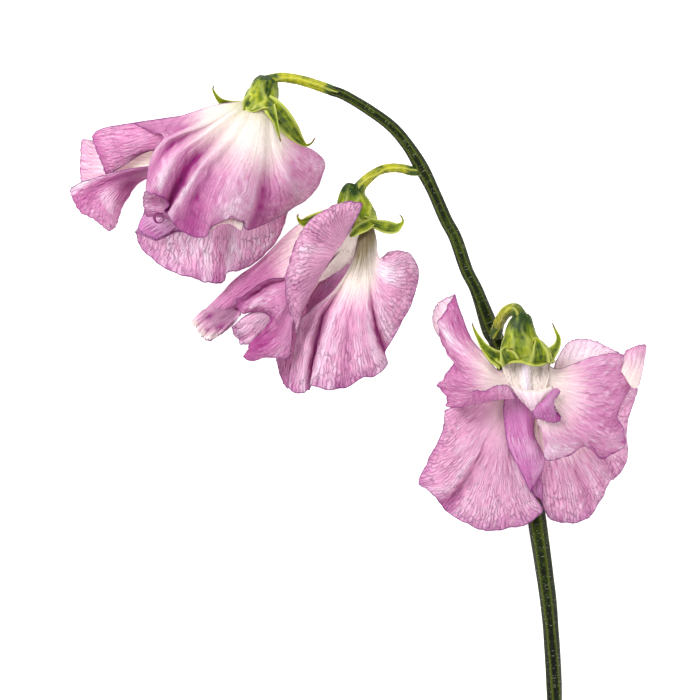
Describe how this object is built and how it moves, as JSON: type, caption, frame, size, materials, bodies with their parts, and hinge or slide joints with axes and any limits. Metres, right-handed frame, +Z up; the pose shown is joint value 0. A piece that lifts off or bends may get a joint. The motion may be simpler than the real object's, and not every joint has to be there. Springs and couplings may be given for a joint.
{
  "type": "sweet pea flower",
  "caption": "Cut sweet pea spray lying on its side: an arching stem with nodding blossoms, each a toothed green calyx with a standard, wings and keel.",
  "frame": {"origin": "on the table, below the middle of the spray's bounding box", "axes": "+Z up from the table it lies on, +Y from the cut end towards the arch of the stem, +X to the right of the picture, towards the lowest blossom's right petals"},
  "size_m": [0.1028, 0.1424, 0.0212],
  "materials": {
    "stem_green": "fresh green stem, slightly waxy, fine hairs",
    "calyx_green": "fresh yellow-green calyx and stalk, satin",
    "petal_pink": "fresh lilac-pink petal, satin, veined",
    "petal_pale": "fresh pale lilac-pink petal, satin, veined",
    "petal_deep": "fresh deep pink petal, satin",
    "stamen_cream": "cream stamen column, satin"
  },
  "bodies": {
    "root": {"stem": "stem_green", "pedicel_1": "calyx_green", "calyx_1": "calyx_green", "standard_1": "petal_pink", "wing_left_1": "petal_pale", "wing_right_1": "petal_pale", "keel_1": "petal_deep", "stamens_1": "stamen_cream", "pedicel_2": "calyx_green", "calyx_2": "calyx_green", "standard_2": "petal_pink", "wing_left_2": "petal_pale", "wing_right_2": "petal_pale", "keel_2": "petal_deep", "stamens_2": "stamen_cream", "pedicel_3": "calyx_green", "calyx_3": "calyx_green", "standard_3": "petal_pink", "wing_left_3": "petal_pale", "wing_right_3": "petal_pale", "keel_3": "petal_deep", "stamens_3": "stamen_cream"}
  },
  "joints": []
}
